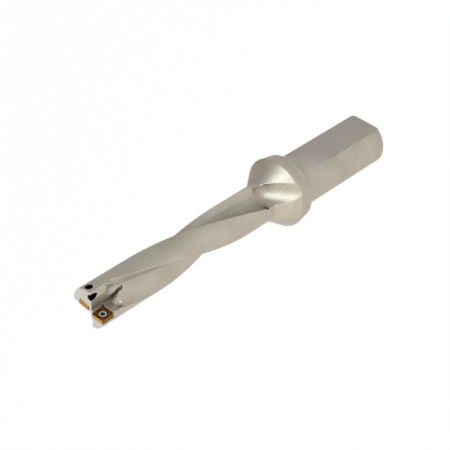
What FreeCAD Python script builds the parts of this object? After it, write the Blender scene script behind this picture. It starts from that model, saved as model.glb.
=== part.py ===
import FreeCAD, Part
import Sketcher
import math
import os

# Indexable insert drill: a one-piece fluted body with a flanged shank, two square inserts
# and the screws that hold them. The tool stands on its shank end: the origin is the centre
# of the shank's rear face, +Z runs along the axis to the tip, and +X is the direction of
# the outer insert's cutting edge. Lengths are millimetres and angles are degrees.

SIZES = {
    # Shank and its clamping flat
    "shank_radius": 12.5,
    "shank_length": 56.0,
    "shank_chamfer": 0.8,
    "flat_height": 9.6,
    "flat_stop": 6.0,
    "flat_corner": 2.2,
    # Flange between shank and fluted bar
    "flange_rear_radius": 15.8,
    "flange_rim_radius": 17.05,
    "flange_band": 6.9,
    "flange_round": 1.5,
    "flange_slope": 37.5,
    # Fluted bar, with a front face that falls off towards its rim
    "bar_radius": 9.25,
    "bar_length": 117.4,
    "nose_rise": 0.65,
    # Helical flutes: the outer flute serves the outer insert, the inner one the inner insert
    "flute_lead": 217.0,
    "flute_runout": 10.4,
    "flute_start": 23.0,
    "flute_top_angle": 86.3,
    "flute_spacing": 166.0,
    "flute_opening": 11.5,
    "wall_lean": 2.0,
    "corner_reach": 5.5,
    "corner_lag": 7.2,
    "floor_reach": 4.15,
    "floor_lag": 72.7,
    "floor_round": 12.0,
    "floor_edge_lag": 89.3,
    # Steeper stretch where the cutter turns out of the helix towards the flange
    "turnout_length": 2.5,
    "turnout_lead": 120.0,
    # Round noses where the milling cutter enters the helix
    "nose_radius": 3.6,
    "nose_reach": 7.4,
    "nose_lag": 32.0,
    "heel_radius": 2.8,
    "heel_reach": 7.6,
    "heel_lag": 67.0,
    # Tapered channels with a round start that lead the flutes out through the flange
    "exit_radius": 4.54,
    "exit_taper": 0.218,
    "exit_offset": 8.04,
    "exit_height": 23.11,
    "exit_lag": 100.05,
    "exit_slope": 23.62,
    "exit_start": 7.0,
    # Chip gashes in front of the two inserts
    "gash_length": 11.4,
    "gash_ramp": 4.5,
    "gash_ramp_rise": 2.4,
    "gash_lip": 0.85,
    "gash_belly": 2.3,
    "gash_belly_height": 5.3,
    "gash_wall": 2.1,
    "gash_floor": 0.85,
    "gash_step": 3.0,
    "plateau": 0.55,
    "plateau_length": 8.9,
    "plateau_ramp": 5.0,
    "plateau_ramp_rise": 2.5,
    "inner_gash_length": 12.9,
    "inner_gash_lip": -1.7,
    "inner_gash_belly": -2.4,
    "inner_gash_wall": -1.55,
    # Inserts, both alike
    "insert_side": 6.35,
    "insert_thickness": 2.38,
    "insert_relief": 8.0,
    "insert_corner": 0.45,
    "insert_bore": 1.3,
    "countersink_radius": 1.8,
    "countersink_angle": 50.0,
    "breaker_margin": 0.3,
    "breaker_width": 0.85,
    "breaker_depth": 0.16,
    "outer_insert_reach": 6.1,
    "outer_insert_drop": 2.2,
    "outer_insert_tilt": 4.0,
    "inner_insert_reach": 2.27,
    "inner_insert_drop": 2.4,
    "inner_insert_tilt": 1.0,
    "pocket_clearance": 0.02,
    "pocket_end_gap": 0.3,
    "pocket_relief": 0.45,
    # Insert screws
    "screw_recess": 0.12,
    "screw_radius": 1.1,
    "screw_length": 5.5,
    "screw_point": 0.3,
    "screw_clearance": 0.02,
    "screw_exit_radius": 1.7,
    "screw_exit_depth": 1.5,
    "torx_core": 0.8,
    "torx_lobe": 0.28,
    "torx_depth": 0.9,
    # Coolant supply
    "bore_radius": 5.5,
    "bore_overlap": 2.0,
    "bore_chamfer": 0.8,
    "channel_radius": 1.3,
    "channel_joint": 1.5,
    "channel_reach": 6.2,
    "channel_lap": 12.0,
    "channel_end": 15.4,
    "channel_lead": 26.0,
    "outlet_radius": 1.45,
    "outlet_x": 1.45,
    "outlet_y": 6.9,
    "outlet_tilt": 20.0,
    "outlet_length": 2.6,
    "inner_outlet_length": 4.0,
}

doc = FreeCAD.newDocument("indexable_drill")
sheet = doc.addObject("Spreadsheet::Sheet", "sizes")
for row, (alias, number) in enumerate(SIZES.items(), start=1):
    sheet.set("A%d" % row, alias)
    sheet.set("B%d" % row, str(number))
    sheet.setAlias("B%d" % row, alias)
doc.recompute()


def named(text):
    """Expression in which every size name points at its cell of the sheet."""
    words = []
    word = ""
    for letter in text + " ":
        if letter.isalnum() or letter == "_":
            word += letter
        else:
            words.append("sizes." + word if word in SIZES else word)
            words.append(letter)
            word = ""
    return "".join(words).strip()


def value(text):
    """Number that an expression of size names gives, with trigonometry in degrees."""
    scratch = doc.getObject("scratch") or doc.addObject("App::FeaturePython", "scratch")
    if not hasattr(scratch, "Result"):
        scratch.addProperty("App::PropertyFloat", "Result")
    return float(scratch.evalExpression(named(text)))


def bind(thing, **bindings):
    """Tie properties of an object to expressions of size names."""
    for name, text in bindings.items():
        thing.setExpression(name, named(text))


def place(thing, x="0", y="0", z="0", turn="0", tilt="0", roll="0"):
    """Tie an object's place to expressions: a point, then yaw, pitch and roll."""
    text = "placement(vector(%s; %s; %s); rotation(%s; %s; %s))" % (x, y, z, turn, tilt, roll)
    thing.setExpression("Placement", named(text))


def polar(reach, angle):
    """Expressions of the point at a reach and an angle from the axis."""
    return ("(%s) * cos(%s)" % (reach, angle), "(%s) * sin(%s)" % (reach, angle))


def tangent_length(before, corner, after, radius):
    """Distance from a corner to where its rounding starts, and the half turn there."""
    first = (before - corner).normalize()
    second = (after - corner).normalize()
    half = math.acos(max(-1.0, min(1.0, first.dot(second)))) / 2
    return radius / math.tan(half)


def outline(sketch, corners):
    """Draw a closed outline through corners (x, y, rounding), each an expression of sizes."""
    count = len(corners)
    spots = [FreeCAD.Vector(value(x), value(y), 0) for x, y, _ in corners]
    radii = [value(rounding) if rounding else 0.0 for _, _, rounding in corners]
    starts, ends = [], []
    for i, spot in enumerate(spots):
        before, after = spots[i - 1], spots[(i + 1) % count]
        reach = tangent_length(before, spot, after, radii[i]) if radii[i] else 0.0
        ends.append(spot + (before - spot).normalize() * reach)
        starts.append(spot + (after - spot).normalize() * reach)
    lines = []
    for i in range(count):
        segment = Part.LineSegment(starts[i], ends[(i + 1) % count])
        lines.append(sketch.addGeometry(segment, False))
    for i, (x, y, rounding) in enumerate(corners):
        into, out = lines[i - 1], lines[i]
        if not rounding:
            sketch.addConstraint(Sketcher.Constraint("Coincident", into, 2, out, 1))
            pin(sketch, out, 1, x, y)
            continue
        middle = arc_middle(ends[i], spots[i], starts[i], radii[i])
        arc = sketch.addGeometry(Part.Arc(ends[i], middle, starts[i]), False)
        tip = sketch.addGeometry(Part.Point(spots[i]), True)
        first, last = nearest_ends(sketch, arc, ends[i])
        sketch.addConstraint(Sketcher.Constraint("Tangent", into, 2, arc, first))
        sketch.addConstraint(Sketcher.Constraint("Tangent", arc, last, out, 1))
        sketch.addConstraint(Sketcher.Constraint("PointOnObject", tip, 1, into))
        sketch.addConstraint(Sketcher.Constraint("PointOnObject", tip, 1, out))
        number = sketch.addConstraint(Sketcher.Constraint("Radius", arc, radii[i]))
        sketch.setExpression("Constraints[%d]" % number, named(rounding))
        pin(sketch, tip, 1, x, y)


def arc_middle(start, corner, end, radius):
    """Middle point of the arc that rounds a corner."""
    inward = ((start - corner).normalize() + (end - corner).normalize()).normalize()
    chord_gap = (start - corner).Length
    centre_gap = math.hypot(radius, chord_gap)
    return corner + inward * (centre_gap - radius)


def nearest_ends(sketch, arc, spot):
    """Numbers of an arc's end that lies at a spot, and of its other end."""
    first = sketch.getPoint(arc, 1)
    return (1, 2) if (first - spot).Length < (sketch.getPoint(arc, 2) - spot).Length else (2, 1)


def pin(sketch, geometry, end, x, y):
    """Fix a point of a sketch at expressions of sizes, from the sketch's origin."""
    for kind, text in (("DistanceX", x), ("DistanceY", y)):
        constraint = Sketcher.Constraint(kind, -1, 1, geometry, end, value(text))
        number = sketch.addConstraint(constraint)
        sketch.setExpression("Constraints[%d]" % number, named(text))


def circle(sketch, x, y, radius):
    """Draw a circle whose centre and radius are expressions of sizes."""
    centre = FreeCAD.Vector(value(x), value(y), 0)
    ring = sketch.addGeometry(Part.Circle(centre, FreeCAD.Vector(0, 0, 1), value(radius)), False)
    number = sketch.addConstraint(Sketcher.Constraint("Radius", ring, value(radius)))
    sketch.setExpression("Constraints[%d]" % number, named(radius))
    pin(sketch, ring, 3, x, y)


def body_sketch(body, name, role):
    """Empty sketch on one of a body's own origin planes."""
    plane = next(item for item in body.Origin.OriginFeatures if item.Role == role)
    sketch = body.newObject("Sketcher::SketchObject", name)
    sketch.AttachmentSupport = [(plane, "")]
    sketch.MapMode = "FlatFace"
    return sketch


def axis_of(body, role):
    """One of a body's own origin axes, as a feature takes it."""
    return (next(item for item in body.Origin.OriginFeatures if item.Role == role), [""])


def revolved(body, name, sketch, kind="PartDesign::Revolution"):
    """Full turn of a sketch about the body's Z axis, added or cut."""
    feature = body.newObject(kind, name)
    feature.Profile = sketch
    feature.ReferenceAxis = axis_of(body, "Z_Axis")
    feature.Angle = 360.0
    return feature


def extrusion(name, sketch, height):
    """Straight solid from a free sketch along its own normal."""
    solid = doc.addObject("Part::Extrusion", name)
    solid.Base = sketch
    solid.DirMode = "Normal"
    solid.Solid = True
    bind(solid, LengthFwd=height)
    return solid


def cut(name, base, tool):
    """Base with the tool taken away."""
    result = doc.addObject("Part::Cut", name)
    result.Base = base
    result.Tool = tool
    return result


# Heights that several features share

cone_length = "(flange_rim_radius - bar_radius) / tan(flange_slope)"
rim_height = "shank_length + flange_band"
front = "(shank_length + bar_length)"
bore_end = "(shank_length + bore_overlap)"
flat_end = "(shank_length - flat_stop)"
flute_top = "(%s - flute_runout)" % front
flute_bottom = "(shank_length + flute_start)"
channel_bottom = "(%s - channel_lap)" % bore_end
channel_top = "(%s - channel_end)" % front

# Turned blank: shank, flange and bar with the coolant bore, then the clamping flat

blank = doc.addObject("PartDesign::Body", "blank")
turning = body_sketch(blank, "turning", "XZ_Plane")
outline(turning, [
    ("0", bore_end, ""),
    ("bore_radius", bore_end + " - bore_radius", ""),
    ("bore_radius", "bore_chamfer", ""),
    ("bore_radius + bore_chamfer", "0", ""),
    ("shank_radius - shank_chamfer", "0", ""),
    ("shank_radius", "shank_chamfer", ""),
    ("shank_radius", "shank_length", ""),
    ("flange_rear_radius", "shank_length", ""),
    ("flange_rim_radius", rim_height, "flange_round"),
    ("bar_radius", "%s + %s" % (rim_height, cone_length), ""),
    ("bar_radius", front, ""),
    ("0", front + " + nose_rise", ""),
])
revolved(blank, "turned_blank", turning)
doc.recompute()

flat_sketch = body_sketch(blank, "flat_sketch", "XZ_Plane")
bind(flat_sketch, **{"AttachmentOffset.Base.z": "-flat_height"})
flat_half = "sqrt(shank_radius ^ 2 - flat_height ^ 2) + 0.2"
outline(flat_sketch, [
    ("-(%s)" % flat_half, "-flat_corner", ""),
    (flat_half, "-flat_corner", ""),
    (flat_half, flat_end, "flat_corner"),
    ("-(%s)" % flat_half, flat_end, "flat_corner"),
])
flat = blank.newObject("PartDesign::Pocket", "clamping_flat")
flat.Profile = flat_sketch
flat.Reversed = False
bind(flat, Length="shank_radius - flat_height + 1")
volume_before = blank.Shape.Volume
doc.recompute()
if blank.Shape.Volume > volume_before - 1:
    flat.Reversed = True
    doc.recompute()

# Cutters for the flutes: a screw-swept section, round noses and a tapered way out

flute_height = "(%s - %s)" % (flute_top, flute_bottom)
flute_turn = "(%s * 360 / flute_lead)" % flute_height


def ball_cutter(name, kind, wall_angle, height):
    """Round end of a flute, set back from the flute's wall."""
    ball = doc.addObject("Part::Sphere", name + "_" + kind)
    bind(ball, Radius=kind + "_radius")
    x, y = polar(kind + "_reach", "%s - %s_lag" % (wall_angle, kind))
    place(ball, x=x, y=y, z=height)
    return ball


def screw_sweep(name, radius, lead, bottom, height, start_angle, draw):
    """Solid that a section draws along a helix, from a bottom height and angle upwards."""
    path = doc.addObject("Part::Helix", name + "_path")
    path.LocalCoord = 0
    bind(path, Pitch=lead, Height=height, Radius=radius)
    place(path, z=bottom, turn=start_angle)
    section = doc.addObject("Sketcher::SketchObject", name + "_section")
    draw(section, bottom, start_angle)
    doc.recompute()
    sweep = doc.addObject("Part::Sweep", name)
    sweep.Sections = [section]
    sweep.Spine = (path, ["Edge1"])
    sweep.Solid = True
    sweep.Frenet = True
    return sweep


def flute_section(section, bottom, angle):
    """Draw the flute: a nearly radial wall, a corner and a broad hollow floor."""
    place(section, z=bottom, turn=angle)
    outline(section, [
        polar("flute_opening", "wall_lean") + ("",),
        polar("corner_reach", "-corner_lag") + ("",),
        polar("floor_reach", "-floor_lag") + ("floor_round",),
        polar("flute_opening", "-floor_edge_lag") + ("",),
        polar("flute_opening * 1.5", "-floor_edge_lag / 2") + ("",),
    ])


def exit_cutters(name, bottom_angle):
    """Tapered cutter and its round start, which lead a flute out through the flange."""
    heading = "(%s - exit_lag)" % bottom_angle
    along, drop = "exit_start * cos(exit_slope)", "exit_start * sin(exit_slope)"
    start_x = "-exit_offset * sin(%s) + %s * cos(%s)" % (heading, along, heading)
    start_y = "exit_offset * cos(%s) + %s * sin(%s)" % (heading, along, heading)
    start_z = "shank_length + exit_height - " + drop
    length = "(2 * flange_rim_radius)"
    channel = doc.addObject("Part::Cone", name)
    bind(channel, Radius1="exit_radius + exit_taper * exit_start", Height=length,
         Radius2="exit_radius + exit_taper * (exit_start + %s)" % length)
    place(channel, x=start_x, y=start_y, z=start_z, turn=heading, tilt="90 + exit_slope")
    start = doc.addObject("Part::Sphere", name + "_start")
    bind(start, Radius="exit_radius + exit_taper * exit_start + 0.02")
    place(start, x=start_x, y=start_y, z=start_z)
    return [channel, start]


def flute_cutters(name, spacing):
    """Solids that mill one flute, turned about the axis by its spacing."""
    top_angle = "(flute_top_angle + %s)" % spacing
    bottom_angle = "(%s - %s)" % (top_angle, flute_turn)
    turnout_angle = "(%s - turnout_length * 360 / turnout_lead)" % bottom_angle
    return [
        screw_sweep(name + "_sweep", "bar_radius", "flute_lead", flute_bottom, flute_height,
                    bottom_angle, flute_section),
        screw_sweep(name + "_turnout", "bar_radius", "turnout_lead",
                    "(%s - turnout_length)" % flute_bottom, "turnout_length",
                    turnout_angle, flute_section),
        ball_cutter(name, "nose", top_angle, flute_top),
        ball_cutter(name, "heel", top_angle, flute_top),
    ] + exit_cutters(name + "_exit", bottom_angle)


outer_flute = flute_cutters("outer_flute", "0")
inner_flute = flute_cutters("inner_flute", "flute_spacing")

# Straight chip gashes at the tip, the inner one turned to the other side


def gash_cutter(name, length, turn, corners):
    """Solid that opens the tip in front of one insert, from the corners of its wall."""
    section = doc.addObject("Sketcher::SketchObject", name + "_section")
    place(section, z="%s - %s" % (front, length), turn=turn)
    outline(section, corners + [
        ("bar_radius + 1.5", "plateau", ""),
        ("bar_radius + 1.5", "bar_radius + 1", ""),
    ])
    doc.recompute()
    return extrusion(name, section, length + " + nose_rise + 1")


def ramp_cutter(name, near, far, floor, length, ramp, rise):
    """Solid between two distances X whose floor ramps up into the flute at its rear."""
    side = doc.addObject("Sketcher::SketchObject", name + "_side")
    place(side, x=far, tilt="-90")
    outline(side, [
        (front + " + nose_rise + 1", floor, ""),
        ("%s - %s" % (front, length), floor, ""),
        ("%s - %s - %s" % (front, length, ramp), "%s + %s" % (floor, rise), ""),
        ("%s - %s - %s" % (front, length, ramp), "bar_radius + 1", ""),
        (front + " + nose_rise + 1", "bar_radius + 1", ""),
    ])
    doc.recompute()
    return extrusion(name, side, "%s - (%s)" % (far, near))


outer_gash = [
    gash_cutter("outer_gash", "plateau_length", "0", [
        ("gash_lip", "bar_radius + 1", ""),
        ("gash_belly", "gash_belly_height", ""),
        ("gash_wall", "gash_floor", ""),
        ("gash_step", "gash_floor", ""),
        ("gash_step", "plateau", ""),
    ]),
    ramp_cutter("outer_slot", "gash_wall", "gash_step", "gash_floor", "gash_length",
                "gash_ramp", "gash_ramp_rise"),
    ramp_cutter("outer_plateau", "gash_step", "bar_radius + 1.5", "plateau", "plateau_length",
                "plateau_ramp", "plateau_ramp_rise"),
]
inner_gash = [
    gash_cutter("inner_gash", "inner_gash_length", "180", [
        ("inner_gash_lip", "bar_radius + 1", ""),
        ("inner_gash_belly", "gash_belly_height", ""),
        ("inner_gash_wall", "plateau", ""),
    ]),
]

# Insert pockets: a seat under each insert, open to the tip, with relief bores in its corners

INSERTS = {
    "outer": {"x": "outer_insert_reach", "z": front + " - outer_insert_drop", "turn": "0",
              "tilt": "outer_insert_tilt", "roll": "-90"},
    "inner": {"x": "-inner_insert_reach", "z": front + " - inner_insert_drop", "turn": "180",
              "tilt": "inner_insert_tilt", "roll": "-90"},
}
seat_drop = "insert_thickness * tan(insert_relief)"
seat_half = "(insert_side / 2 + pocket_clearance - %s)" % seat_drop


def on_insert(thing, which, across="0", back="0", depth="0"):
    """Place a thing in an insert's own frame: rake face up, Y towards the shank."""
    frame = INSERTS[which]
    turn, tilt, roll = frame["turn"], frame["tilt"], frame["roll"]
    text = ("placement(vector(%s; 0; %s); rotation(%s; %s; %s)) * placement(vector(%s; %s; -(%s)); "
            "rotation(0; 0; 0))" % (frame["x"], frame["z"], turn, tilt, roll, across, back, depth))
    thing.setExpression("Placement", named(text))


def pocket_cutters(which, axis_side, far_side):
    """Solids that cut the seat of one insert and its screw hole."""
    seat = doc.addObject("Sketcher::SketchObject", which + "_seat")
    on_insert(seat, which, depth="insert_thickness")
    outline(seat, [
        ("-%s" % axis_side, "-insert_side * 1.2", ""),
        (far_side, "-insert_side * 1.2", ""),
        (far_side, seat_half, ""),
        ("-%s" % axis_side, seat_half, ""),
    ])
    doc.recompute()
    pocket = extrusion(which + "_pocket", seat, "insert_thickness + 1.2")
    bind(pocket, TaperAngle="insert_relief")
    cutters = [pocket]
    for side, across in (("axis", "-insert_side / 2"), ("far", "insert_side / 2")):
        bore = doc.addObject("Part::Cylinder", "%s_%s_relief" % (which, side))
        bind(bore, Radius="pocket_relief", Height="insert_thickness + 1.2")
        on_insert(bore, which, across=across, back="insert_side / 2", depth="insert_thickness")
        cutters.append(bore)
    hole = doc.addObject("Part::Cylinder", which + "_screw_hole")
    bind(hole, Radius="screw_radius + screw_clearance", Height="bar_radius + 1")
    on_insert(hole, which, depth="bar_radius + 1")
    cutters.append(hole)
    mouth = doc.addObject("Part::Cone", which + "_screw_exit")
    bind(mouth, Radius1="screw_exit_radius + 1", Radius2="0.4",
         Height="(screw_exit_radius + 0.6) * screw_exit_depth / (screw_exit_radius - screw_radius)")
    on_insert(mouth, which, depth=surface_depth(which) + " + screw_exit_depth / "
              "(screw_exit_radius - screw_radius)")
    cutters.append(mouth)
    return cutters


def surface_depth(which):
    """Depth below the rake face at which a screw's axis leaves the bar."""
    return "sqrt(bar_radius ^ 2 - %s_insert_reach ^ 2)" % which


outer_pocket = pocket_cutters("outer", seat_half, "(insert_side * 1.2)")
inner_pocket = pocket_cutters("inner", "(%s + pocket_end_gap)" % seat_half, seat_half)

# Coolant channels: a screw-swept bore in each land, then a straight one to the front face


def between(name, start, end, radius):
    """Straight round cutter from one point to another, both as expressions."""
    dx, dy, dz = ("((%s) - (%s))" % (far, near) for near, far in zip(start, end))
    reach = "sqrt(%s ^ 2 + %s ^ 2)" % (dx, dy)
    drill = doc.addObject("Part::Cylinder", name)
    bind(drill, Radius=radius, Height="sqrt(%s ^ 2 + %s ^ 2 + %s ^ 2)" % (dx, dy, dz))
    place(drill, x=start[0], y=start[1], z=start[2], turn="atan2(%s; %s)" % (dy, dx),
          tilt="atan2(%s; %s)" % (reach, dz))
    return drill


def channel_section(section, bottom, angle):
    """Draw the round coolant channel at the foot of its helix."""
    x, y = polar("channel_reach", angle)
    place(section, x=x, y=y, z=bottom)
    circle(section, "0", "0", "channel_radius")


def coolant_cutters(name, spacing, mouth, mouth_radius):
    """Solids that drill one land's coolant channel, from the bore to its mouth."""
    top_angle = "(flute_top_angle + %s - (%s - %s) * 360 / flute_lead + channel_lead)" % (
        spacing, flute_top, channel_top)
    height = "(%s - %s)" % (channel_top, channel_bottom)
    sweep = screw_sweep(name + "_sweep", "channel_reach", "flute_lead", channel_bottom, height,
                        "(%s - %s * 360 / flute_lead)" % (top_angle, height), channel_section)
    x, y = polar("channel_reach", top_angle)
    knee = (x, y, channel_top)
    joint = doc.addObject("Part::Sphere", name + "_joint")
    bind(joint, Radius="channel_joint")
    place(joint, x=x, y=y, z=channel_top)
    if mouth is None:
        return [sweep, joint, between(name + "_drill", knee,
                                      (x, y, channel_top + " + inner_outlet_length"), mouth_radius)]
    inside = (mouth[0] + " - outlet_length * sin(outlet_tilt)", mouth[1],
              front + " - outlet_length * cos(outlet_tilt)")
    beyond = (mouth[0] + " + sin(outlet_tilt)", mouth[1], front + " + cos(outlet_tilt)")
    neck = doc.addObject("Part::Sphere", name + "_neck")
    bind(neck, Radius="outlet_radius + 0.01")
    place(neck, x=inside[0], y=inside[1], z=inside[2])
    return [sweep, joint, between(name + "_drill", knee, inside, "channel_radius"), neck,
            between(name + "_outlet", inside, beyond, mouth_radius)]


outer_coolant = coolant_cutters("outer_coolant", "0", ("outlet_x", "outlet_y"), "outlet_radius")
inner_coolant = coolant_cutters("inner_coolant", "flute_spacing", None, "channel_radius")

# The finished body

drill_body = blank
for label, cutters in (
    ("coolant", outer_coolant + inner_coolant),
    ("flutes", outer_flute + inner_flute),
    ("gashes", outer_gash + inner_gash),
    ("pockets", outer_pocket + inner_pocket),
):
    for cutter in cutters:
        drill_body = cut("%s_%s" % (label, cutter.Name), drill_body, cutter)
drill_body.Label = "drill_body"
doc.recompute()

# Square insert: relieved flanks, countersunk hole and a chip breaker along its edges


def make_insert(which):
    """One square insert in its own frame, placed on its seat."""
    insert = doc.addObject("PartDesign::Body", which + "_insert")
    half = "insert_side / 2"
    face = body_sketch(insert, which + "_insert_face", "XY_Plane")
    outline(face, [
        ("-" + half, "-" + half, "insert_corner"),
        (half, "-" + half, "insert_corner"),
        (half, half, "insert_corner"),
        ("-" + half, half, "insert_corner"),
    ])
    slab = insert.newObject("PartDesign::Pad", which + "_insert_slab")
    slab.Profile = face
    slab.Reversed = True
    bind(slab, Length="insert_thickness", TaperAngle="-insert_relief")
    doc.recompute()
    hole = body_sketch(insert, which + "_insert_hole", "XZ_Plane")
    cone = "(countersink_radius - insert_bore) / tan(countersink_angle / 2)"
    outline(hole, [
        ("0", "0.1", ""),
        ("countersink_radius", "0.1", ""),
        ("countersink_radius", "0", ""),
        ("insert_bore", "-" + cone, ""),
        ("insert_bore", "-insert_thickness - 0.1", ""),
        ("0", "-insert_thickness - 0.1", ""),
    ])
    revolved(insert, which + "_insert_bore", hole, "PartDesign::Groove")
    doc.recompute()
    breaker = body_sketch(insert, which + "_insert_breaker", "XY_Plane")
    outer_half = "(insert_side / 2 - breaker_margin)"
    inner_half = "(insert_side / 2 - breaker_margin - breaker_width)"
    outline(breaker, [
        ("-" + outer_half, "-" + outer_half, "insert_corner"),
        (outer_half, "-" + outer_half, "insert_corner"),
        (outer_half, outer_half, "insert_corner"),
        ("-" + outer_half, outer_half, "insert_corner"),
    ])
    outline(breaker, [
        ("-" + inner_half, "-" + inner_half, "insert_corner"),
        (inner_half, "-" + inner_half, "insert_corner"),
        (inner_half, inner_half, "insert_corner"),
        ("-" + inner_half, inner_half, "insert_corner"),
    ])
    groove = insert.newObject("PartDesign::Pocket", which + "_insert_groove")
    groove.Profile = breaker
    bind(groove, Length="breaker_depth")
    before = insert.Shape.Volume
    doc.recompute()
    if insert.Shape.Volume > before - 0.5:
        groove.Reversed = not groove.Reversed
        doc.recompute()
    on_insert(insert, which)
    insert.Label = which + "_insert"
    return insert


# Countersunk screw: cone under the head, plain shank and a six-lobed recess


def make_screw(which):
    """One insert screw in the insert's frame, its head just below the rake face."""
    screw = doc.addObject("PartDesign::Body", which + "_insert_screw")
    profile = body_sketch(screw, which + "_screw_profile", "XZ_Plane")
    slope = "tan(countersink_angle / 2)"
    head = "(countersink_radius - screw_clearance - screw_recess * %s)" % slope
    neck = "screw_recess + (%s - screw_radius) / %s" % (head, slope)
    outline(profile, [
        ("0", "-screw_recess", ""),
        (head, "-screw_recess", ""),
        ("screw_radius", "-(%s)" % neck, ""),
        ("screw_radius", "-screw_length + screw_point", ""),
        ("screw_radius - screw_point", "-screw_length", ""),
        ("0", "-screw_length", ""),
    ])
    revolved(screw, which + "_screw_turned", profile)
    doc.recompute()
    core = body_sketch(screw, which + "_torx_core", "XY_Plane")
    circle(core, "0", "0", "torx_core")
    recess = screw.newObject("PartDesign::Pocket", which + "_torx_recess")
    recess.Profile = core
    bind(recess, Length="screw_recess + torx_depth")
    lobe = body_sketch(screw, which + "_torx_lobe", "XY_Plane")
    circle(lobe, "torx_core", "0", "torx_lobe")
    before = screw.Shape.Volume
    doc.recompute()
    if screw.Shape.Volume > before - 0.3:
        recess.Reversed = True
        doc.recompute()
    notch = screw.newObject("PartDesign::Pocket", which + "_torx_notch")
    notch.Profile = lobe
    notch.Reversed = recess.Reversed
    bind(notch, Length="screw_recess + torx_depth")
    doc.recompute()
    lobes = screw.newObject("PartDesign::PolarPattern", which + "_torx_lobes")
    lobes.Originals = [notch]
    lobes.Axis = axis_of(screw, "Z_Axis")
    lobes.Angle = 360.0
    lobes.Occurrences = 6
    screw.Tip = lobes
    on_insert(screw, which)
    screw.Label = which + "_insert_screw"
    return screw


parts = [drill_body]
for which in ("outer", "inner"):
    parts.append(make_insert(which))
    parts.append(make_screw(which))
doc.recompute()

# Check every piece, then write the solids

for thing in doc.Objects:
    bad = [state for state in thing.State if state in ("Invalid", "Error")]
    if bad:
        raise RuntimeError("%s is %s" % (thing.Name, bad))
os.makedirs("parts", exist_ok=True)
for part in parts:
    shape = part.Shape
    if shape.isNull() or not shape.isValid() or len(shape.Solids) != 1:
        raise RuntimeError("%s is not one sound solid (%d)" % (part.Label, len(shape.Solids)))
    shape.exportStep("parts/%s.step" % part.Label)
    print("%-20s volume %10.2f" % (part.Label, shape.Volume))
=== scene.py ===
import logging
import math
from dataclasses import dataclass, field
from enum import Enum
from typing import Optional

import bpy
from mathutils import Matrix, Vector


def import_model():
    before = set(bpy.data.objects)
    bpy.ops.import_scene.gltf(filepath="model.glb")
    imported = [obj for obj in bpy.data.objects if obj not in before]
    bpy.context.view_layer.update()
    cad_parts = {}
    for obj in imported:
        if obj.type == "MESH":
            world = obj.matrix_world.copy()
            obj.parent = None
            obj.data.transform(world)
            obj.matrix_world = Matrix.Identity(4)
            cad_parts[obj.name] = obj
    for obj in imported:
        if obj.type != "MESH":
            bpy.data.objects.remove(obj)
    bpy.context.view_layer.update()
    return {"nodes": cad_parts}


LOG = logging.getLogger("drill_scene")
MM = 0.001
WHITE = (1.0, 1.0, 1.0, 1.0)
Triple = tuple[float, float, float]
Pair = tuple[float, float]
NodeSocket = bpy.types.NodeSocket


class Socket(Enum):
    """Kinds of value that a shader group takes in or puts out."""

    NUMBER = "NodeSocketFloat"
    COLOUR = "NodeSocketColor"
    VECTOR = "NodeSocketVector"


class Side(Enum):
    """The two inserts, by where they cut."""

    OUTER = "outer"
    INNER = "inner"


@dataclass(frozen=True)
class Port:
    """One named input or output of a shader group."""

    name: str
    kind: Socket


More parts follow.
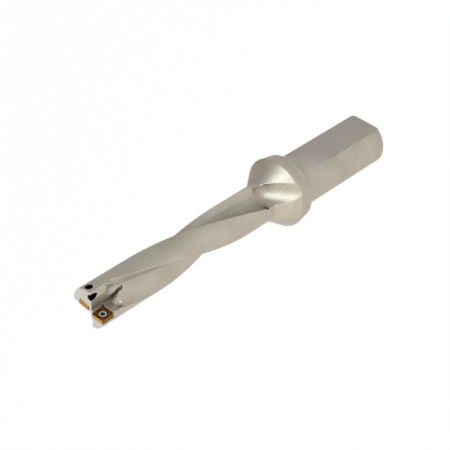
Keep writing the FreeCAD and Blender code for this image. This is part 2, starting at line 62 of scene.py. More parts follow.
class NodeTree:
    """Small helper that adds and links the nodes of one material, group or world."""

    def __init__(self, tree: bpy.types.NodeTree) -> None:
        """Keep the tree that is built."""
        self.tree = tree

    def add(self, kind: str, settings: Optional[dict] = None, **inputs: object) -> bpy.types.Node:
        """Add a node.

        Args:
            kind: The node's Blender type name.
            settings: Properties of the node itself.
            inputs: Input socket names, with _ for a space, and a socket to link or a value.

        Returns:
            The new node.
        """
        node = self.tree.nodes.new(kind)
        for name, setting in (settings or {}).items():
            setattr(node, name, setting)
        for name, source in inputs.items():
            self.feed(node, name.replace("_", " "), source)
        return node

    def feed(self, node: bpy.types.Node, name: object, source: object) -> None:
        """Link a socket into a node's input, or set the input's value.

        Args:
            node: The node that receives it.
            name: The input's name or number.
            source: A socket or a plain value.
        """
        target = node.inputs[name]
        if isinstance(source, NodeSocket):
            self.tree.links.new(source, target)
        else:
            target.default_value = source

    def math(self, operation: str, first: object, second: object = 0.0) -> NodeSocket:
        """Combine two numbers by a Math operation.

        Args:
            operation: The node's operation.
            first: A socket or a number.
            second: A socket or a number.

        Returns:
            The result's socket.
        """
        node = self.tree.nodes.new("ShaderNodeMath")
        node.operation = operation
        self.feed(node, 0, first)
        self.feed(node, 1, second)
        return node.outputs[0]

    def vector(self, operation: str, first: object, second: object = (0.0, 0.0, 0.0),
               result: int = 0) -> NodeSocket:
        """Combine two vectors by a Vector Math operation.

        Args:
            operation: The node's operation.
            first: A socket or a vector.
            second: A socket or a vector.
            result: 0 for the vector, 1 for the number.

        Returns:
            The result's socket.
        """
        node = self.tree.nodes.new("ShaderNodeVectorMath")
        node.operation = operation
        self.feed(node, 0, first)
        self.feed(node, 1, second)
        return node.outputs[result]

    def ramp(self, source: object, low: float, high: float, start: float = 0.0,
             end: float = 1.0) -> NodeSocket:
        """Smooth change of a number from one level to another.

        Args:
            source: The number's socket.
            low: The number at which the change starts.
            high: The number at which it ends.
            start: The result at low.
            end: The result at high.

        Returns:
            The result's socket.
        """
        node = self.add("ShaderNodeMapRange", {"interpolation_type": "SMOOTHSTEP"}, From_Min=low,
                        From_Max=high, To_Min=start, To_Max=end)
        self.feed(node, "Value", source)
        return node.outputs[0]

    def mix(self, share: object, first: object, second: object) -> NodeSocket:
        """Mix two colours by a share.

        Args:
            share: A socket or a number, 0 for the first colour and 1 for the second.
            first: A socket or a triple.
            second: A socket or a triple.

        Returns:
            The mixed colour's socket.
        """
        node = self.tree.nodes.new("ShaderNodeMix")
        node.data_type = "RGBA"
        self.feed(node, 0, share)
        for number, colour in ((6, first), (7, second)):
            linked = isinstance(colour, NodeSocket)
            self.feed(node, number, colour if linked else (*colour, 1.0))
        return node.outputs[2]

    def blend(self, mask: NodeSocket, most: float, first: object, second: object) -> NodeSocket:
        """Mix in a second colour where a mask is on.

        Args:
            mask: The mask's socket.
            most: The second colour's share where the mask is full.
            first: A socket or a triple.
            second: A socket or a triple.

        Returns:
            The mixed colour's socket.
        """
        return self.mix(self.math("MULTIPLY", mask, most), first, second)

    def bump(self, height: NodeSocket, strength: float, depth: float, normal: NodeSocket) -> NodeSocket:
        """Bend a normal by a height.

        Args:
            height: The height's socket.
            strength: The share of the bend that shows.
            depth: How deep a height of 1 is, in millimetres.
            normal: The normal's socket.

        Returns:
            The bent normal's socket.
        """
        node = self.add("ShaderNodeBump", Strength=strength, Distance=depth * MM, Height=height,
                        Normal=normal)
        return node.outputs[0]

    def noise(self, place: object, scale: object, detail: float) -> NodeSocket:
        """Noise between 0 and 1 at a place in millimetres."""
        return self.add("ShaderNodeTexNoise", Vector=place, Scale=scale, Detail=detail).outputs[0]

    def call(self, group: bpy.types.NodeTree, **inputs: object) -> bpy.types.Node:
        """Add a shader group and feed it.

        Args:
            group: The group.
            inputs: Its input names, and a socket to link or a value.

        Returns:
            The group's node.
        """
        node = self.add("ShaderNodeGroup", {"node_tree": group})
        for name, source in inputs.items():
            self.feed(node, name, source)
        return node


def new_group(name: str, takes: tuple[Port, ...],
              gives: tuple[Port, ...]) -> tuple[NodeTree, bpy.types.Node, bpy.types.Node]:
    """Start a shader group.

    Args:
        name: The group's name.
        takes: Its inputs.
        gives: Its outputs.

    Returns:
        The group's tree helper, its input node and its output node.
    """
    group = bpy.data.node_groups.new(name, "ShaderNodeTree")
    for ports, way in ((takes, "INPUT"), (gives, "OUTPUT")):
        for port in ports:
            group.interface.new_socket(port.name, in_out=way, socket_type=port.kind.value)
    tree = NodeTree(group)
    return tree, tree.add("NodeGroupInput"), tree.add("NodeGroupOutput")


class SharedEffects:
    """Shader groups that the finishes share.

    Each pair holds the two levels of a value between which a mask changes.
    """

    EDGE_BEND: Pair = (0.995, 0.9)
    EDGE_OPEN: Pair = (0.45, 0.75)
    HOLLOW_OPEN: Pair = (0.96, 0.36)
    CONTRAST: Pair = (0.3, 0.7)
    CLOUD_SCALE = 0.09
    DRIFT_SCALE = 0.35
    DRIFT = 3.0
    LEAST_RIDGE = 0.4
    RIDGE_SIZE = 0.35
    RIDGE_MIDDLE = 0.5

    def __init__(self) -> None:
        """Build the groups once."""
        self.place = self.build_place()
        self.edges = self.build_edges()
        self.grain = self.build_grain()
        self.marks = self.build_marks()

    def build_place(self) -> bpy.types.NodeTree:
        """Group that gives the place in millimetres, its distance from the axis and its parts.

        Returns:
            The group.
        """
        gives = (Port("mm", Socket.VECTOR), Port("radius", Socket.NUMBER), Port("height", Socket.NUMBER),
                 Port("across", Socket.NUMBER), Port("upward", Socket.NUMBER))
        tree, _, out = new_group("place_in_millimetres", (), gives)
        spot = tree.add("ShaderNodeTexCoord").outputs["Object"]
        spot = tree.vector("MULTIPLY", spot, (1.0 / MM,) * 3)
        parts = tree.add("ShaderNodeSeparateXYZ", Vector=spot)
        flat = tree.vector("MULTIPLY", spot, (1.0, 1.0, 0.0))
        tree.feed(out, "mm", spot)
        tree.feed(out, "radius", tree.vector("LENGTH", flat, result=1))
        tree.feed(out, "height", parts.outputs["Z"])
        tree.feed(out, "across", parts.outputs["X"])
        tree.feed(out, "upward", parts.outputs["Y"])
        return tree.tree

    def build_edges(self) -> bpy.types.NodeTree:
        """Group that gives an edge mask for wear and painted highlight, a softened normal and a mask of
        sheltered places for painted shade.

        Returns:
            The group.
        """
        takes = (Port("width", Socket.NUMBER), Port("shelter", Socket.NUMBER))
        gives = (Port("edge", Socket.NUMBER), Port("normal", Socket.VECTOR), Port("hollow", Socket.NUMBER))
        tree, into, out = new_group("edges_and_hollows", takes, gives)
        bevel = tree.add("ShaderNodeBevel", {"samples": 6},
                         Radius=tree.math("MULTIPLY", into.outputs["width"], MM))
        true = tree.add("ShaderNodeNewGeometry").outputs["True Normal"]
        bend = tree.vector("DOT_PRODUCT", bevel.outputs[0], true, 1)
        shade = tree.add("ShaderNodeAmbientOcclusion", {"samples": 8, "only_local": True},
                         Distance=tree.math("MULTIPLY", into.outputs["shelter"], MM))
        open_air = shade.outputs["AO"]
        # edge: where edges take wear and a painted highlight, only in open places.
        edge = tree.math("MULTIPLY", tree.ramp(bend, *self.EDGE_BEND),
                         tree.ramp(open_air, *self.EDGE_OPEN))
        tree.feed(out, "edge", edge)
        tree.feed(out, "normal", bevel.outputs[0])
        # hollow: where shade is painted, from ambient occlusion.
        tree.feed(out, "hollow", tree.ramp(open_air, *self.HOLLOW_OPEN))
        return tree.tree

    def build_grain(self) -> bpy.types.NodeTree:
        """Group that gives the grain of a metal skin: cloudy tone, fine grit and a bump height.

        Returns:
            The group.
        """
        takes = (Port("mm", Socket.VECTOR), Port("grit", Socket.NUMBER))
        gives = (Port("cloud", Socket.NUMBER), Port("speck", Socket.NUMBER), Port("height", Socket.NUMBER))
        tree, into, out = new_group("metal_grain", takes, gives)
        place = into.outputs["mm"]
        cloud = tree.noise(place, self.CLOUD_SCALE, detail=4.0)
        fine = tree.noise(place, into.outputs["grit"], detail=2.0)
        tree.feed(out, "cloud", tree.ramp(cloud, *self.CONTRAST))
        tree.feed(out, "speck", tree.ramp(fine, *self.CONTRAST))
        tree.feed(out, "height", fine)
        return tree.tree

    def build_marks(self) -> bpy.types.NodeTree:
        """Group of fine parallel tool marks along one number, uneven in strength.

        Returns:
            The group.
        """
        takes = (Port("along", Socket.NUMBER), Port("pitch", Socket.NUMBER), Port("mm", Socket.VECTOR))
        gives = (Port("ridge", Socket.NUMBER),)
        tree, into, out = new_group("tool_marks", takes, gives)
        step = tree.math("DIVIDE", into.outputs["along"], into.outputs["pitch"])
        drift = tree.noise(into.outputs["mm"], self.DRIFT_SCALE, detail=2.0)
        drift = tree.math("MULTIPLY", drift, self.DRIFT)
        wave = tree.math("SINE", tree.math("MULTIPLY", tree.math("ADD", step, drift), math.tau))
        random = tree.add("ShaderNodeTexWhiteNoise", {"noise_dimensions": "1D"},
                          W=tree.math("FLOOR", step))
        ridge = tree.math("MULTIPLY", wave, tree.math("ADD", random.outputs[0], self.LEAST_RIDGE))
        ridge = tree.math("MULTIPLY", ridge, self.RIDGE_SIZE)
        tree.feed(out, "ridge", tree.math("ADD", ridge, self.RIDGE_MIDDLE))
        return tree.tree


def metal_material(name: str) -> tuple[bpy.types.Material, NodeTree, bpy.types.Node]:
    """Empty metal material.

    Args:
        name: The material's name.

    Returns:
        The material, its tree helper and its Principled shader.
    """
    material = bpy.data.materials.new(name)
    material.use_nodes = True
    shader = material.node_tree.nodes["Principled BSDF"]
    shader.inputs["Metallic"].default_value = 1.0
    return material, NodeTree(material.node_tree), shader


@dataclass(frozen=True)
class DarkHole:
    """A drilled hole whose wall is painted dark as shade: its mouth, inward direction, radius and reach.

    Lengths are millimetres. The mask fades across the wall and at both ends of its reach.
    """

    mouth: Triple
    way: Triple
    radius: float
    start: float
    depth: float
    wall_over: float = 0.04
    wall_under: float = 0.06
    fade_in: float = 0.5
    fade_out: float = 2.0

    def mask(self, tree: NodeTree, place: NodeSocket) -> NodeSocket:
        """Mask of the hole's inside, where shade is painted.

        Args:
            tree: The material's tree.
            place: The place in millimetres.

        Returns:
            The mask's socket.
        """
        away = tree.vector("SUBTRACT", place, self.mouth)
        along = tree.vector("DOT_PRODUCT", away, self.way, 1)
        gap = tree.vector("LENGTH", tree.vector("CROSS_PRODUCT", away, self.way), result=1)
        inside = tree.ramp(gap, self.radius + self.wall_over, self.radius - self.wall_under)
        below = tree.ramp(along, self.start, self.start + self.fade_in)
        before = tree.ramp(along, self.depth, self.depth - self.fade_out)
        return tree.math("MULTIPLY", inside, tree.math("MULTIPLY", below, before))


@dataclass(frozen=True)
class SatinSteel:
    """Warm satin plated steel of the body, with its ground, turned and milled surfaces.

    Lengths are millimetres in the part's frame, and colours are linear. The tone has clouds of
    dusk, and the clamping flat is ground, with a painted sheen that makes it lighter towards its
    front corner. Edges are bright, partly from wear and partly as a painted highlight. Sheltered
    places take a painted shade, the holes and the bore a painted black shade, and specks take the
    same dark colour as the shade. A share is the most that one colour shows over another, and a
    fade is the length over which a mask starts or ends.
    """

    effects: SharedEffects
    tone: Triple = (0.612, 0.548, 0.458)
    dusk: Triple = (0.430, 0.380, 0.308)
    ground: Triple = (0.480, 0.430, 0.372)
    flat_sheen: Triple = (0.78, 0.70, 0.61)
    bright: Triple = (0.95, 0.93, 0.89)
    shade_and_speck: Triple = (0.095, 0.080, 0.062)
    black: Triple = (0.012, 0.010, 0.008)
    cloud_share: float = 0.4
    rear_share: float = 0.10
    sheen_share: float = 0.8
    speck_share: float = 0.16
    hollow_share: float = 0.80
    edge_share: float = 0.55
    roughness: float = 0.44
    speck_rough: float = 0.10
    edge_gloss: float = 0.10
    hole_rough: float = 0.4
    grit: float = 3.4
    edge_width: float = 0.38
    shelter: float = 16.0
    ring_pitch: float = 0.28
    mill_pitch: float = 0.45
    grind_pitch: float = 0.22
    mark_share: float = 0.5
    bump_strength: float = 0.11
    bump_depth: float = 0.05
    shank_end: float = 56.0
    sheen_start: float = 30.0
    sheen_across: Pair = (-8.0, 7.0)
    band_end: float = 62.9
    band_fade: float = 0.1
    mill_fade: float = 2.0
    bar_radius: float = 9.25
    mill_inset: Pair = (0.05, 0.25)
    bore_radius: float = 5.52
    bore_wall: Pair = (0.1, 0.02)
    bore_start: Pair = (1.5, 9.0)
    bore_end: float = 60.0
    bore_fade: float = 1.0
    flat_height: float = 9.6
    flat_gap: Pair = (0.05, 0.02)
    flat_fade: float = 0.5
    holes: tuple[DarkHole, ...] = (
        DarkHole(mouth=(1.45, 6.9, 173.4), way=(-0.342, 0.0, -0.940), radius=1.50, start=-0.2, depth=8.0),
        DarkHole(mouth=(-2.27, 9.2, 171.0), way=(0.0, -1.0, 0.0), radius=1.75, start=-0.1, depth=6.0),
        DarkHole(mouth=(6.1, -9.2, 171.2), way=(0.0, 1.0, 0.0), radius=1.75, start=-0.1, depth=6.0),
        DarkHole(mouth=(0.0, -6.2, 160.6), way=(0.0, 0.0, -1.0), radius=1.32, start=0.0, depth=8.0),
    )

    def build(self) -> bpy.types.Material:
        """Make the body's material.

        Returns:
            The material.
        """
        material, tree, shader = metal_material("satin_steel")
        spot = tree.call(self.effects.place)
        edges = tree.call(self.effects.edges, width=self.edge_width, shelter=self.shelter)
        grain = tree.call(self.effects.grain, mm=spot.outputs["mm"], grit=self.grit)
        flat = self.flat_mask(tree, spot)
        # Painted black shade inside the holes and the coolant bore.
        hole_shade = tree.math("MAXIMUM", self.hole_mask(tree, spot), self.bore_mask(tree, spot))
        skin = self.skin(tree, spot, grain, flat)
        # Painted shade in sheltered places, then edges lighter as wear and a painted highlight.
        colour = tree.blend(edges.outputs["hollow"], self.hollow_share, skin, self.shade_and_speck)
        colour = tree.blend(edges.outputs["edge"], self.edge_share, colour, self.bright)
        tree.feed(shader, "Base Color", tree.mix(hole_shade, colour, self.black))
        dull = tree.math("MULTIPLY", grain.outputs["speck"], self.speck_rough)
        gloss = tree.math("MULTIPLY", edges.outputs["edge"], self.edge_gloss)
        rough = tree.math("SUBTRACT", tree.math("ADD", self.roughness, dull), gloss)
        dark = tree.math("MULTIPLY", hole_shade, self.hole_rough)
        tree.feed(shader, "Roughness", tree.math("ADD", rough, dark))
        tree.feed(shader, "Normal", self.relief(tree, spot, edges, grain, flat))
        return material

    def skin(self, tree: NodeTree, spot: bpy.types.Node, grain: bpy.types.Node,
             flat: NodeSocket) -> NodeSocket:
        """Colour of the skin, with the flat's painted sheen, before edge wear, painted highlight and
        painted shade.

        Args:
            tree: The material's tree.
            spot: The place group's node.
            grain: The grain group's node.
            flat: The clamping flat's mask.

        Returns:
            The colour's socket.
        """
        height = spot.outputs["height"]
        colour = tree.blend(grain.outputs["cloud"], self.cloud_share, self.tone, self.dusk)
        rear = tree.ramp(height, self.band_end + self.band_fade, self.band_end - self.band_fade)
        colour = tree.blend(rear, self.rear_share, colour, self.dusk)
        colour = tree.mix(flat, colour, self.ground)
        # Painted sheen: the flat lighter towards its front corner.
        sheen_mask = tree.math("MULTIPLY", tree.ramp(height, self.sheen_start, self.shank_end), flat)
        sheen_mask = tree.math("MULTIPLY", sheen_mask, tree.ramp(spot.outputs["across"], *self.sheen_across))
        colour = tree.blend(sheen_mask, self.sheen_share, colour, self.flat_sheen)
        return tree.blend(grain.outputs["speck"], self.speck_share, colour, self.shade_and_speck)

    def flat_mask(self, tree: NodeTree, spot: bpy.types.Node) -> NodeSocket:
        """Mask of the ground clamping flat.

        Args:
            tree: The material's tree.
            spot: The place group's node.

        Returns:
            The mask's socket.
        """
        off = tree.math("ABSOLUTE", tree.math("SUBTRACT", spot.outputs["upward"], self.flat_height))
        behind = tree.ramp(spot.outputs["height"], self.shank_end, self.shank_end - self.flat_fade)
        return tree.math("MULTIPLY", tree.ramp(off, *self.flat_gap), behind)

    def bore_mask(self, tree: NodeTree, spot: bpy.types.Node) -> NodeSocket:
        """Mask of the coolant bore's wall, painted black as shade.

        Args:
            tree: The material's tree.
            spot: The place group's node.

        Returns:
            The mask's socket.
        """
        over, under = self.bore_wall
        inside = tree.ramp(spot.outputs["radius"], self.bore_radius + over, self.bore_radius - under)
        deep = tree.ramp(spot.outputs["height"], *self.bore_start)
        behind = tree.ramp(spot.outputs["height"], self.bore_end, self.bore_end - self.bore_fade)
        return tree.math("MULTIPLY", tree.math("MULTIPLY", inside, deep), behind)

    def hole_mask(self, tree: NodeTree, spot: bpy.types.Node) -> NodeSocket:
        """Mask of the insides of the coolant outlets and the screw holes, painted dark as shade.

        Args:
            tree: The material's tree.
            spot: The place group's node.

        Returns:
            The mask's socket.
        """
        mask = self.holes[0].mask(tree, spot.outputs["mm"])
        for hole in self.holes[1:]:
            mask = tree.math("MAXIMUM", mask, hole.mask(tree, spot.outputs["mm"]))
        return mask

    def relief(self, tree: NodeTree, spot: bpy.types.Node, edges: bpy.types.Node, grain: bpy.types.Node,
               flat: NodeSocket) -> NodeSocket:
        """Bump of the skin: turned rings, milled flutes, the ground flat and fine grit.

        Args:
            tree: The material's tree.
            spot: The place group's node.
            edges: The edge group's node.
            grain: The grain group's node.
            flat: The clamping flat's mask.

        Returns:
            The bent normal's socket.
        """
        rings = self.marks(tree, spot, "height", self.ring_pitch)
        mills = self.marks(tree, spot, "radius", self.mill_pitch)
        grinds = self.marks(tree, spot, "across", self.grind_pitch)
        shallow, deep = self.mill_inset
        inner = tree.ramp(spot.outputs["radius"], self.bar_radius - shallow, self.bar_radius - deep)
        ahead = tree.ramp(spot.outputs["height"], self.band_end, self.band_end + self.mill_fade)
        marks = tree.mix(tree.math("MULTIPLY", inner, ahead), rings, mills)
        marks = tree.math("MULTIPLY", tree.mix(flat, marks, grinds), self.mark_share)
        height = tree.math("ADD", marks, grain.outputs["height"])
        return tree.bump(height, self.bump_strength, self.bump_depth, edges.outputs["normal"])

    def marks(self, tree: NodeTree, spot: bpy.types.Node, along: str, pitch: float) -> NodeSocket:
        """Tool marks that follow one another along an output of the place group."""
        group = self.effects.marks
        return tree.call(group, along=spot.outputs[along], pitch=pitch, mm=spot.outputs["mm"]).outputs[0]


@dataclass(frozen=True)
class RakeFace:
    """Where an insert's rake face lies, in millimetres of the part's frame.

    It has a centre, the insert's tilt in degrees, the way that it looks along Y, as 1 or -1,
    and half the insert's width.
    """

    centre: Triple
    tilt: float
    rake: float
    half: float = 3.175

    def height(self, tree: NodeTree, spot: bpy.types.Node) -> NodeSocket:
        """Height over the face, which is negative below it."""
        over = tree.math("SUBTRACT", spot.outputs["upward"], self.centre[1])
        return tree.math("MULTIPLY", over, self.rake)

    def reach(self, tree: NodeTree, place: NodeSocket) -> NodeSocket:
        """Distance from the screw's axis."""
        beside = tree.vector("MULTIPLY", tree.vector("SUBTRACT", place, self.centre), (1.0, 0.0, 1.0))
        return tree.vector("LENGTH", beside, result=1)

    def outward(self, tree: NodeTree, place: NodeSocket) -> NodeSocket:
        """Distance from the centre toward the bar's skin."""
        away = tree.vector("SUBTRACT", place, self.centre)
        return tree.vector("DOT_PRODUCT", away, (1.0, 0.0, -math.radians(self.tilt)), 1)

    def edge_distance(self, tree: NodeTree, place: NodeSocket) -> NodeSocket:
        """Distance from the nearest cutting edge, measured in the face.

        Args:
            tree: The material's tree.
            place: The place in millimetres.

        Returns:
            The distance's socket.
        """
        lean = math.radians(self.tilt) * self.rake
        away = tree.vector("SUBTRACT", place, self.centre)
        along = tree.vector("DOT_PRODUCT", away, (math.cos(lean), 0.0, -math.sin(lean)), 1)
        ahead = tree.vector("DOT_PRODUCT", away, (math.sin(lean), 0.0, math.cos(lean)), 1)
        reach = tree.math("MAXIMUM", tree.math("ABSOLUTE", along), tree.math("ABSOLUTE", ahead))
        return tree.math("SUBTRACT", self.half, reach)


@dataclass(frozen=True)
class BronzeCoating:
    """Bronze-coloured coating of an insert: golden flanks and a darker face.

    A dark band on the face is painted as the shade of the chip-breaker groove. Painted shade also
    lies on the flank toward the bar's skin, round the screw and in sheltered places, and edges are
    lighter, partly from wear and partly as a painted highlight.
    """

    effects: SharedEffects
    side: Side
    seat: RakeFace
    flank: Triple = (0.41, 0.172, 0.016)
    face: Triple = (0.400, 0.170, 0.026)
    band_and_shade: Triple = (0.040, 0.015, 0.003)
    lip_wear_and_highlight: Triple = (0.56, 0.29, 0.050)
    line_near: float = 0.34
    line_far: float = 0.86
    line_fades: Pair = (0.08, 0.12)
    line_share: float = 0.92
    skin_flank_share: float = 0.60
    ring_share: float = 0.9
    edge_share: float = 0.8
    cloud_share: float = 0.18
    hollow_share: float = 0.7
    roughness: float = 0.30
    speck_rough: float = 0.12
    grit: float = 14.0
    edge_width: float = 0.1
    shelter: float = 1.2
    bump_strength: float = 0.12
    bump_depth: float = 0.03
    face_span: Pair = (-0.30, -0.22)
    skin_span: Pair = (2.6, 2.9)
    ring_span: Pair = (2.40, 2.10)

    def build(self) -> bpy.types.Material:
        """Make this insert's material.

        Returns:
            The material.
        """
        material, tree, shader = metal_material("bronze_coating_%s" % self.side.value)
        spot = tree.call(self.effects.place)
        edges = tree.call(self.effects.edges, width=self.edge_width, shelter=self.shelter)
        grain = tree.call(self.effects.grain, mm=spot.outputs["mm"], grit=self.grit)
        colour = self.pattern(tree, spot)
        # Edges lighter as wear and a painted highlight.
        colour = tree.blend(edges.outputs["edge"], self.edge_share, colour, self.lip_wear_and_highlight)
        colour = tree.blend(grain.outputs["cloud"], self.cloud_share, colour, self.band_and_shade)
        # Painted shade in sheltered places.
        colour = tree.blend(edges.outputs["hollow"], self.hollow_share, colour, self.band_and_shade)
        tree.feed(shader, "Base Color", colour)
        dull = tree.math("MULTIPLY", grain.outputs["speck"], self.speck_rough)
        tree.feed(shader, "Roughness", tree.math("ADD", self.roughness, dull))
        tree.feed(shader, "Normal", tree.bump(grain.outputs["height"], self.bump_strength,
                                              self.bump_depth, edges.outputs["normal"]))
        return material

    def pattern(self, tree: NodeTree, spot: bpy.types.Node) -> NodeSocket:
        """Colour of the flanks and the face, with the painted shade of the chip-breaker groove, round the
        screw and on the flank toward the bar's skin.

        Args:
            tree: The material's tree.
            spot: The place group's node.

        Returns:
            The colour's socket.
        """
        place = spot.outputs["mm"]
        on_face = tree.ramp(self.seat.height(tree, spot), *self.face_span)
        # Painted shade on the flank toward the bar's skin.
        skin_flank_shade = tree.ramp(self.seat.outward(tree, place), *self.skin_span)
        sides = tree.blend(skin_flank_shade, self.skin_flank_share, self.flank, self.band_and_shade)
        colour = tree.mix(on_face, sides, self.face)
        # Dark band painted as the shade of the chip-breaker groove.
        inset = self.seat.edge_distance(tree, place)
        near = tree.ramp(inset, self.line_near, self.line_near + self.line_fades[0])
        far = tree.ramp(inset, self.line_far, self.line_far - self.line_fades[1])
        band = tree.math("MULTIPLY", tree.math("MULTIPLY", near, far), on_face)
        colour = tree.blend(band, self.line_share, colour, self.band_and_shade)
        # Painted shade round the screw.
        screw_ring_shade = tree.ramp(self.seat.reach(tree, place), *self.ring_span)
        screw_ring_shade = tree.math("MULTIPLY", screw_ring_shade, on_face)
        return tree.blend(screw_ring_shade, self.ring_share, colour, self.band_and_shade)


@dataclass(frozen=True)
class ScrewSteel:
    """Bluish bright steel of an insert screw, with painted shade in its star recess and at the edge of its
    head, and edges lighter as wear and a painted highlight.
    """

    effects: SharedEffects
    side: Side
    seat: RakeFace
    steel: Triple = (0.82, 0.87, 0.94)
    cloud: Triple = (0.42, 0.45, 0.52)
    rim_shade: Triple = (0.20, 0.23, 0.29)
    bright: Triple = (0.92, 0.94, 0.97)
    recess_shade: Triple = (0.030, 0.032, 0.042)
    cloud_share: float = 0.3
    rim_share: float = 0.60
    edge_share: float = 0.7
    roughness: float = 0.24
    speck_rough: float = 0.14
    grit: float = 16.0
    edge_width: float = 0.12
    shelter: float = 1.0
    ring_pitch: float = 0.12
    bump_strength: float = 0.15
    bump_depth: float = 0.02
    face_depth: float = 0.12
    sunk_below: Pair = (0.05, 0.45)
    rim_span: Pair = (1.45, 1.70)
    lobe_span: Pair = (1.08, 1.0)
    pit_span: Pair = (1.06, 0.90)

    def build(self) -> bpy.types.Material:
        """Make this screw's material.

        Returns:
            The material.
        """
        material, tree, shader = metal_material("screw_steel_%s" % self.side.value)
        spot = tree.call(self.effects.place)
        place = spot.outputs["mm"]
        edges = tree.call(self.effects.edges, width=self.edge_width, shelter=self.shelter)
        grain = tree.call(self.effects.grain, mm=place, grit=self.grit)
        reach = self.seat.reach(tree, place)
        colour = tree.blend(grain.outputs["cloud"], self.cloud_share, self.steel, self.cloud)
        # Painted shade at the edge of the head, where it sits in the insert.
        colour = tree.blend(tree.ramp(reach, *self.rim_span), self.rim_share, colour, self.rim_shade)
        # Edges lighter as wear and a painted highlight.
        colour = tree.blend(edges.outputs["edge"], self.edge_share, colour, self.bright)
        # Painted shade in the star recess.
        colour = tree.mix(self.recess_mask(tree, spot, reach), colour, self.recess_shade)
        tree.feed(shader, "Base Color", colour)
        dull = tree.math("MULTIPLY", grain.outputs["speck"], self.speck_rough)
        tree.feed(shader, "Roughness", tree.math("ADD", self.roughness, dull))
        rings = tree.call(self.effects.marks, along=reach, pitch=self.ring_pitch, mm=place)
        tree.feed(shader, "Normal", tree.bump(rings.outputs["ridge"], self.bump_strength,
                                              self.bump_depth, edges.outputs["normal"]))
        return material

    def recess_mask(self, tree: NodeTree, spot: bpy.types.Node, reach: NodeSocket) -> NodeSocket:
        """Mask of the star recess, painted dark as shade.

        Args:
            tree: The material's tree.
            spot: The place group's node.
            reach: The distance from the screw's axis.

        Returns:
            The mask's socket.
        """
        shallow, deep = self.sunk_below
        height = self.seat.height(tree, spot)
        sunk = tree.ramp(height, -self.face_depth - shallow, -self.face_depth - deep)
        recess = tree.math("MULTIPLY", sunk, tree.ramp(reach, *self.lobe_span))
        return tree.math("MAXIMUM", recess, tree.ramp(reach, *self.pit_span))


@dataclass
class DrillBody:
    """The fluted body with its flange and shank."""

    effects: SharedEffects
    node: str = "drill_body"

    def dress(self, nodes: dict) -> None:
        """Give the body its satin steel."""
        put_on(nodes[self.node], SatinSteel(self.effects).build())


@dataclass
class InsertSeat:
    """One insert and its screw, placed by the insert's rake face."""

    effects: SharedEffects
    side: Side
    face: RakeFace

    def dress(self, nodes: dict) -> None:
        """Give the insert and its screw their finishes.

        Args:
            nodes: The frame's objects by node name.
        """
        name = "%s_insert" % self.side.value
        put_on(nodes[name], BronzeCoating(self.effects, self.side, self.face).build())
        put_on(nodes[name + "_screw"], ScrewSteel(self.effects, self.side, self.face).build())


def put_on(piece: bpy.types.Object, material: bpy.types.Material) -> None:
    """Put a material into every slot of a piece.

    Args:
        piece: The CAD node's object.
        material: Its new material.
    """
    for slot in piece.material_slots:
        slot.material = material
    LOG.info("%s wears %s", piece.name, material.name)


@dataclass
class Lamp:
    """One soft square lamp that looks at the drill."""

    name: str
    place: Triple
    size: float
    power: float
    colour: Triple = (0.80, 0.90, 1.0)
    target: Triple = (0.0, 0.0, 0.09)

    def hang(self) -> None:
        """Make the lamp."""
        data = bpy.data.lights.new(self.name, "AREA")
        data.shape = "SQUARE"
        data.size = self.size
        data.energy = self.power
        data.color = self.colour
        lamp = bpy.data.objects.new(self.name, data)
        bpy.context.scene.collection.objects.link(lamp)
        lamp.location = self.place
        aim = Vector(self.target) - Vector(self.place)
        lamp.rotation_euler = aim.to_track_quat("-Z", "Y").to_euler()


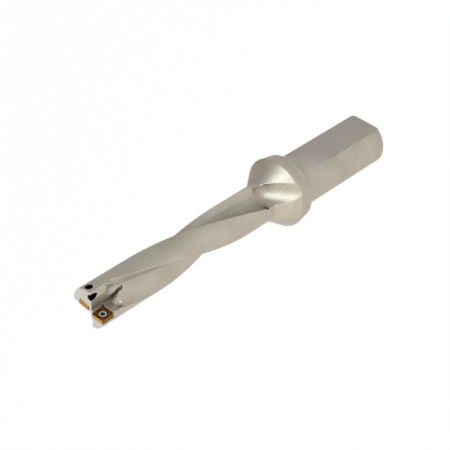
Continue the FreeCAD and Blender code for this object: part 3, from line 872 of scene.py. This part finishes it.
@dataclass
class Studio:
    """Camera, white surroundings and soft lamps around the standing drill.

    The camera sees white, and on the floor a hundredth of the paper's own shade. The steel
    mirrors a share of that white, and otherwise a surround and a floor that darken along
    dim_way. Lengths are metres, apart from the lens and the sensor, which are millimetres.
    """

    location: Triple = (0.269904, 0.326966, 0.377880)
    right: Triple = (0.70597429, 0.0280378, -0.70768226)
    up: Triple = (-0.47022155, 0.7657624, -0.4387478)
    back: Triple = (0.52961494, 0.64251212, 0.55379255)
    lens: float = 92.4
    sensor: float = 36.0
    clip: Pair = (0.01, 50.0)
    floor_size: float = 6.0
    floor_white: float = 0.99
    floor_tones: Pair = (1.0, 0.40)
    floor_span: Pair = (-0.14, 0.20)
    surround_span: Pair = (-0.75, 0.85)
    warm: Triple = (1.0, 0.985, 0.945)
    ambient: float = 1.24
    dim: float = 0.10
    dim_way: Triple = (-0.86, 0.50, 0.10)
    mirrored: float = 0.35
    lamps: tuple[Lamp, ...] = field(default_factory=lambda: (
        Lamp("key_softbox", place=(0.06, 0.67, 0.77), size=0.62, power=5.3),
        Lamp("low_softbox", place=(-0.45, -0.50, 0.55), size=0.50, power=0.9),
    ))

    def build(self) -> None:
        """Make the camera, world, floor and lamps."""
        self.add_camera()
        self.add_world()
        self.add_floor()
        for lamp in self.lamps:
            lamp.hang()
        bpy.context.scene.view_settings.view_transform = "Standard"

    def add_camera(self) -> None:
        """Place the camera at the photograph's viewpoint."""
        data = bpy.data.cameras.new("photo_camera")
        data.lens = self.lens
        data.sensor_width = self.sensor
        data.clip_start, data.clip_end = self.clip
        camera = bpy.data.objects.new("photo_camera", data)
        bpy.context.scene.collection.objects.link(camera)
        turn = Matrix((self.right, self.up, self.back)).transposed().to_4x4()
        camera.matrix_world = Matrix.Translation(Vector(self.location)) @ turn
        bpy.context.scene.camera = camera

    def add_world(self) -> None:
        """Show white behind the drill, and give it a surround that darkens to one side."""
        world = bpy.data.worlds.new("studio")
        world.use_nodes = True
        world.node_tree.nodes.clear()
        tree = NodeTree(world.node_tree)
        way = tree.vector("NORMALIZE", tree.add("ShaderNodeTexCoord").outputs["Generated"])
        toward = tree.vector("DOT_PRODUCT", way, self.dim_way, 1)
        level = tree.ramp(toward, *self.surround_span, self.ambient, self.dim)
        ambient = tree.add("ShaderNodeBackground", Color=(*self.warm, 1.0), Strength=level)
        paper = tree.add("ShaderNodeBackground", Color=WHITE, Strength=1.0)
        mix = tree.add("ShaderNodeMixShader", Fac=self.white_share(tree, 1.0))
        tree.feed(mix, 1, ambient.outputs[0])
        tree.feed(mix, 2, paper.outputs[0])
        out = tree.add("ShaderNodeOutputWorld")
        tree.feed(out, "Surface", mix.outputs[0])
        bpy.context.scene.world = world

    def white_share(self, tree: NodeTree, direct: float) -> NodeSocket:
        """Share of plain white that a ray sees, by the kind of ray.

        Args:
            tree: The world's or the floor's tree.
            direct: The share for the camera and for transmitted rays.

        Returns:
            The share's socket.
        """
        path = tree.add("ShaderNodeLightPath")
        seen = tree.math("MAXIMUM", path.outputs["Is Camera Ray"], path.outputs["Is Transmission Ray"])
        glossy = tree.math("MULTIPLY", path.outputs["Is Glossy Ray"], self.mirrored)
        return tree.math("MAXIMUM", tree.math("MULTIPLY", seen, direct), glossy)

    def add_floor(self) -> None:
        """Lay a pale floor under the shank's end."""
        half = self.floor_size / 2
        corners = [(-half, -half, 0.0), (half, -half, 0.0), (half, half, 0.0), (-half, half, 0.0)]
        mesh = bpy.data.meshes.new("floor")
        mesh.from_pydata(corners, [], [(0, 1, 2, 3)])
        floor = bpy.data.objects.new("floor", mesh)
        bpy.context.scene.collection.objects.link(floor)
        material = bpy.data.materials.new("floor_paper")
        material.use_nodes = True
        material.node_tree.nodes.clear()
        tree = NodeTree(material.node_tree)
        place = tree.add("ShaderNodeTexCoord").outputs["Object"]
        toward = tree.vector("DOT_PRODUCT", place, self.dim_way, 1)
        tone = tree.ramp(toward, *self.floor_span, *self.floor_tones)
        paper = tree.add("ShaderNodeBsdfDiffuse", Color=tone)
        glow = tree.add("ShaderNodeEmission", Color=WHITE, Strength=1.0)
        mix = tree.add("ShaderNodeMixShader", Fac=self.white_share(tree, self.floor_white))
        tree.feed(mix, 1, paper.outputs[0])
        tree.feed(mix, 2, glow.outputs[0])
        out = tree.add("ShaderNodeOutputMaterial")
        tree.feed(out, "Surface", mix.outputs[0])
        mesh.materials.append(material)


def main() -> None:
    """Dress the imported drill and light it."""
    logging.basicConfig(level=logging.INFO, format="%(message)s")
    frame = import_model()
    effects = SharedEffects()
    DrillBody(effects).dress(frame["nodes"])
    for seat in (
        InsertSeat(effects, Side.OUTER, RakeFace(centre=(6.1, 0.0, 171.2), tilt=4.0, rake=1.0)),
        InsertSeat(effects, Side.INNER, RakeFace(centre=(-2.27, 0.0, 171.0), tilt=1.0, rake=-1.0)),
    ):
        seat.dress(frame["nodes"])
    Studio().build()


if __name__ == "__main__":
    main()
